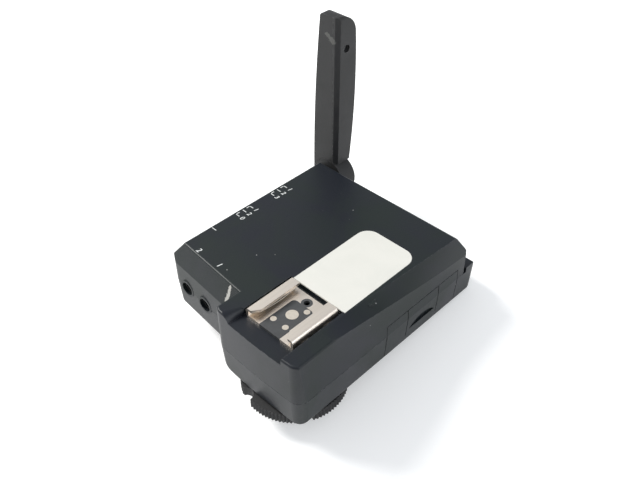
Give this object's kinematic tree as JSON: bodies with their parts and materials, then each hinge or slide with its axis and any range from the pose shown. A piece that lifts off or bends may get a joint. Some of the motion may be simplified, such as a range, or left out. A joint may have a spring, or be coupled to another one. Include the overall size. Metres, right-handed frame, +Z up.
{
  "type": "wireless flash trigger",
  "caption": "Flat radio trigger for flash units: flash shoe on top, camera foot with knurled lock ring below, fold-up antenna, side battery door, sync sockets.",
  "frame": {"origin": "centre of the camera foot's underside, on the axis of the lock ring", "axes": "+Z up along the lock ring's axis, +Y from the shoe block to the antenna, +X towards the side with the battery door"},
  "size_m": [0.0769, 0.0968, 0.0968],
  "materials": {
    "cover_black": "satin moulded black plastic with a fine spark texture",
    "plate_grey": "silver-grey printed plate, left blank",
    "antenna_black": "matte black, lightly scuffed",
    "ring_black": "matte black with straight knurl",
    "shoe_nickel": "nickel-plated sheet, worn bright on the edges",
    "insulator_black": "dark moulded insulator",
    "contact_gold": "pale gold-plated",
    "steel": "zinc-plated steel",
    "foot_alloy": "black-coated alloy",
    "brass": "machined brass",
    "board_green": "solder-masked board",
    "chip_black": "moulded package",
    "socket_steel": "tinned shell",
    "control_black": "satin black",
    "led_clear": "clear light guide",
    "cell_case": null,
    "element_copper": "copper radiator"
  },
  "bodies": {
    "housing": {"top_cover": "cover_black", "bottom_cover": "cover_black", "name_plate": "plate_grey", "cover_screws": "steel", "main_circuit_board": "board_green", "radio_module": "chip_black", "processor_chip": "chip_black", "usb_socket": "socket_steel", "test_switch": "chip_black", "mode_switch": "chip_black", "zone_switch": "chip_black", "status_led": "led_clear", "thread_insert": "brass", "shoe_bracket": "shoe_nickel", "shoe_insulator": "insulator_black", "shoe_centre_contact": "contact_gold", "shoe_small_contacts": "contact_gold", "shoe_spring_left": "shoe_nickel", "shoe_spring_right": "shoe_nickel", "foot_plate": "foot_alloy", "foot_insulator": "insulator_black", "foot_mount_plate": "steel", "foot_screws": "steel", "door_hinge_pin": "steel", "battery_button_contacts": "steel", "battery_spring_contacts": "steel", "jack_socket_1": "chip_black", "jack_socket_2": "chip_black", "battery_cell_1": "cell_case", "battery_cell_2": "cell_case"},
    "antenna": {"antenna_hub": "antenna_black", "antenna_left_shell": "antenna_black", "antenna_right_shell": "antenna_black", "antenna_element": "element_copper", "antenna_screw": "steel", "antenna_pivot_washer": "steel", "antenna_pivot_screw": "steel"},
    "battery_door": {"battery_door": "cover_black"},
    "lock_ring": {"lock_ring": "ring_black"},
    "clamp": {"clamp_plate": "steel", "lock_pin": "steel"},
    "foot_pins": {"foot_contact_pins": "contact_gold"},
    "test_button": {"test_button": "control_black"},
    "mode_slider": {"mode_slider": "control_black"},
    "zone_slider": {"zone_slider": "control_black"}
  },
  "joints": [
    {"name": "antenna_fold", "type": "hinge", "parent": "housing", "child": "antenna", "pos_m": [-0.05015, 0.0682, 0.0279], "axis": [0, 1, 0], "range_deg": [-90, 90]},
    {"name": "door_swing", "type": "hinge", "parent": "housing", "child": "battery_door", "pos_m": [-0.0419, 0.044, 0.0105], "axis": [0, 1, 0], "range_deg": [0, 90]},
    {"name": "clamp_drop", "type": "slide", "parent": "housing", "child": "clamp", "axis": [0, 0, -1], "range_m": [0, 0.00187]},
    {"name": "ring_turn", "type": "hinge", "parent": "clamp", "child": "lock_ring", "pos_m": [0, 0, 0], "axis": [0, 0, -1], "range_deg": [0, 451]},
    {"name": "pins_press", "type": "slide", "parent": "housing", "child": "foot_pins", "axis": [0, 0, 1], "range_m": [0, 0.0004], "stiffness_N_per_m": 500, "springref_m": -0.0002},
    {"name": "test_press", "type": "slide", "parent": "housing", "child": "test_button", "axis": [1, 0, 0], "range_m": [0, 0.0006], "stiffness_N_per_m": 500, "springref_m": -0.0003},
    {"name": "mode_slide", "type": "slide", "parent": "housing", "child": "mode_slider", "axis": [0, 1, 0], "range_m": [-0.0025, 0.0025]},
    {"name": "zone_slide", "type": "slide", "parent": "housing", "child": "zone_slider", "axis": [0, 1, 0], "range_m": [-0.0025, 0.0025]}
  ],
  "couplings": [
    {"joint": "ring_turn", "follows": "clamp_drop", "rad_per_m": 4188.8}
  ]
}
